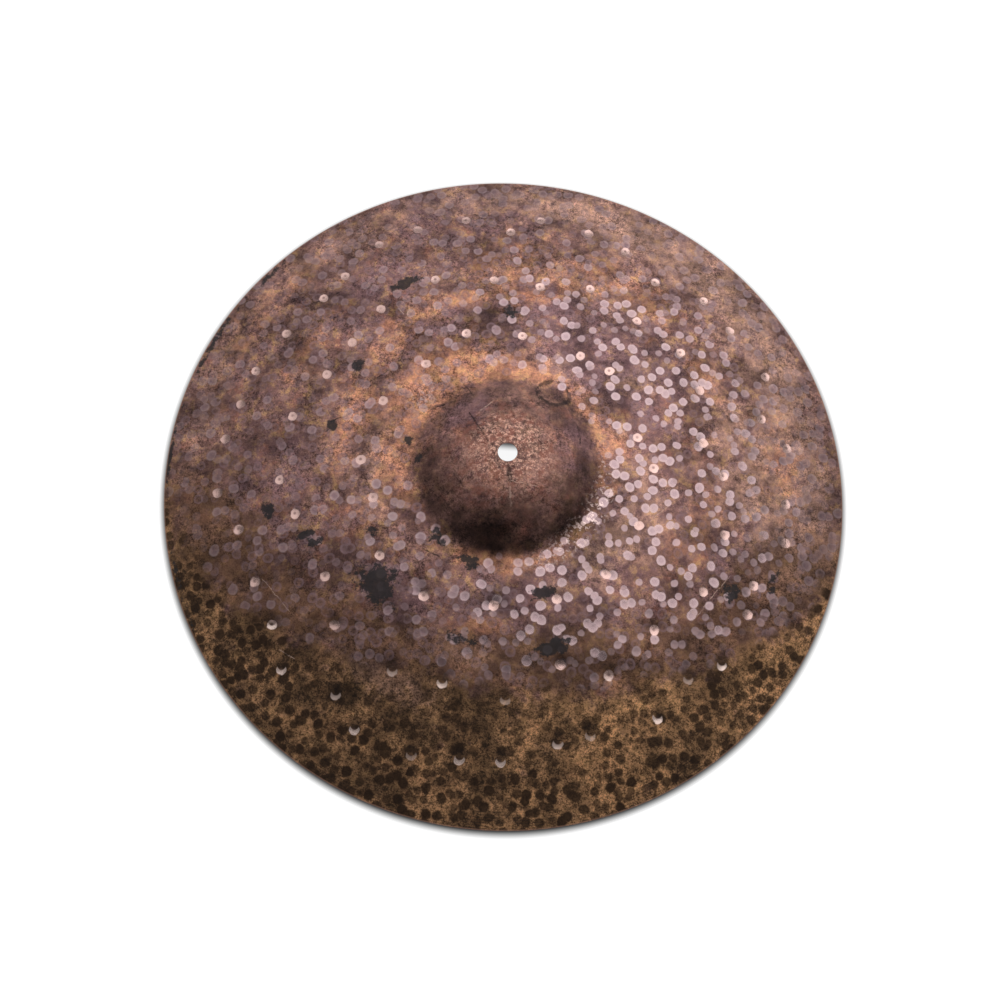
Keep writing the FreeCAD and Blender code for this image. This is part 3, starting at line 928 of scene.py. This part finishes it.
# %% [markdown]
# ## A pale table and soft light
# The cymbal lies on a pale table. A large soft panel hangs over its right half, a dimmer one over
# its left and back, and nothing hangs in front, so what leans forward is darker. The wall gets dark
# towards the ceiling where the bronze reflects it, but the camera sees it plain white, and it
# doesn't see the panels.
# The table glows a little, which keeps it evenly pale without a lamp that would shine on the bronze.

# %% Table
TABLE_HALF, TABLE_TOP = 12.0, -0.0003  # in metres; the top lies just under the rim


def pale_table():
    """A large pale floor, with a painted soft contact shadow round the rim and a painted glow under the hole.
    """
    mesh = bpy.data.meshes.new("table")
    corners = [(x * TABLE_HALF, y * TABLE_HALF, TABLE_TOP) for x, y in ((-1, -1), (1, -1), (1, 1), (-1, 1))]
    mesh.from_pydata(corners, [], [(0, 1, 2, 3)])
    table = bpy.data.objects.new("table", mesh)
    bpy.context.scene.collection.objects.link(table)
    material = bpy.data.materials.new("pale_table")
    material.use_nodes = True
    tree = material.node_tree
    shader = tree.nodes["Principled BSDF"]
    place = Field(tree, tree.nodes.new("ShaderNodeTexCoord").outputs["Object"]) * 1000.0
    # painted shadow: colour and glow darken just round the rim
    shadow = (place - (0.0, -1.2, 0.0)).length().smooth(EDGE - 1.5, EDGE + 5.2, 0.04, 1.0)
    plug(tree, shader.inputs["Base Color"], vector_of(tree, shadow * 0.85, shadow * 0.85, shadow * 0.85))
    shader.inputs["Roughness"].default_value = 0.7
    shader.inputs["Emission Color"].default_value = (1.0, 1.0, 1.0, 1.0)
    # painted light: the floor glows under the hole, and is painted darker towards the hole's back edge
    inside = place.length().smooth(28.0, 32.0, 1.0, 0.0) * place.parts()[1].smooth(16.5, 23.5, 1.0, 0.0)
    far = place.length().smooth(600.0, 3000.0, 0.0, 0.35)
    plug(tree, shader.inputs["Emission Strength"], shadow * 0.72 + inside * 0.9 + far)
    mesh.materials.append(material)
    return table


print(pale_table().name, "is the floor")


# %% Lights
def panel(name, place, target, size, radiance):
    """A soft rectangular panel that looks at a point; radiance is how bright it looks."""
    light = bpy.data.lights.new(name, "AREA")
    light.shape = "RECTANGLE"
    light.size, light.size_y = size
    light.energy = radiance * math.pi * size[0] * size[1]
    lamp = bpy.data.objects.new(name, light)
    lamp.location = place
    lamp.rotation_euler = (Vector(target) - Vector(place)).to_track_quat("-Z", "Y").to_euler()
    lamp.visible_camera = False
    bpy.context.scene.collection.objects.link(lamp)
    return lamp


panel("right_panel", (0.48, 0.75, 1.30), (0.48, 0.75, 0.0), (1.15, 1.9), 1.45)
panel("left_panel", (-0.65, 0.75, 1.30), (-0.65, 0.75, 0.0), (1.1, 1.9), 0.75)


def surroundings():
    """A pale wall, darker towards the ceiling in reflections, and plain white for the camera."""
    world = bpy.data.worlds.new("studio")
    world.use_nodes = True
    tree = world.node_tree
    background = tree.nodes["Background"]
    _, back, up = Field(tree, tree.nodes.new("ShaderNodeTexCoord").outputs["Generated"]).parts()
    level = up.smooth(0.10, 0.50, 0.85, 0.05) + back.smooth(0.0, 0.6, 0.0, 0.3)
    seen = Field(tree, tree.nodes.new("ShaderNodeLightPath").outputs["Is Camera Ray"])
    level = level.towards(1.0, seen)
    plug(tree, background.inputs["Color"], vector_of(tree, level, level, level))
    background.inputs["Strength"].default_value = 1.0
    bpy.context.scene.world = world


surroundings()
print("two panels and a pale wall")

# %% [markdown]
# ## The camera
# The camera looks down steeply from the front, and leans a little to one side.

# %% Camera
def steep_camera():
    """A camera 65 cm from the cymbal, 72 degrees up, turned a few degrees about its own axis."""
    camera = bpy.data.cameras.new("camera")
    camera.sensor_width = 36.0
    camera.lens = 34.5
    stand = bpy.data.objects.new("camera", camera)
    place, target = Vector((0.0, -0.2053, 0.6167)), Vector((-0.0023, -0.0183, 0.0))
    look = (target - place).to_track_quat("-Z", "Y").to_matrix().to_4x4()
    stand.matrix_world = Matrix.Translation(place) @ look @ Matrix.Rotation(math.radians(4.3), 4, "Z")
    bpy.context.scene.collection.objects.link(stand)
    bpy.context.scene.camera = stand


steep_camera()
bpy.context.scene.view_settings.view_transform = "Standard"
print("camera:", bpy.context.scene.camera.location)
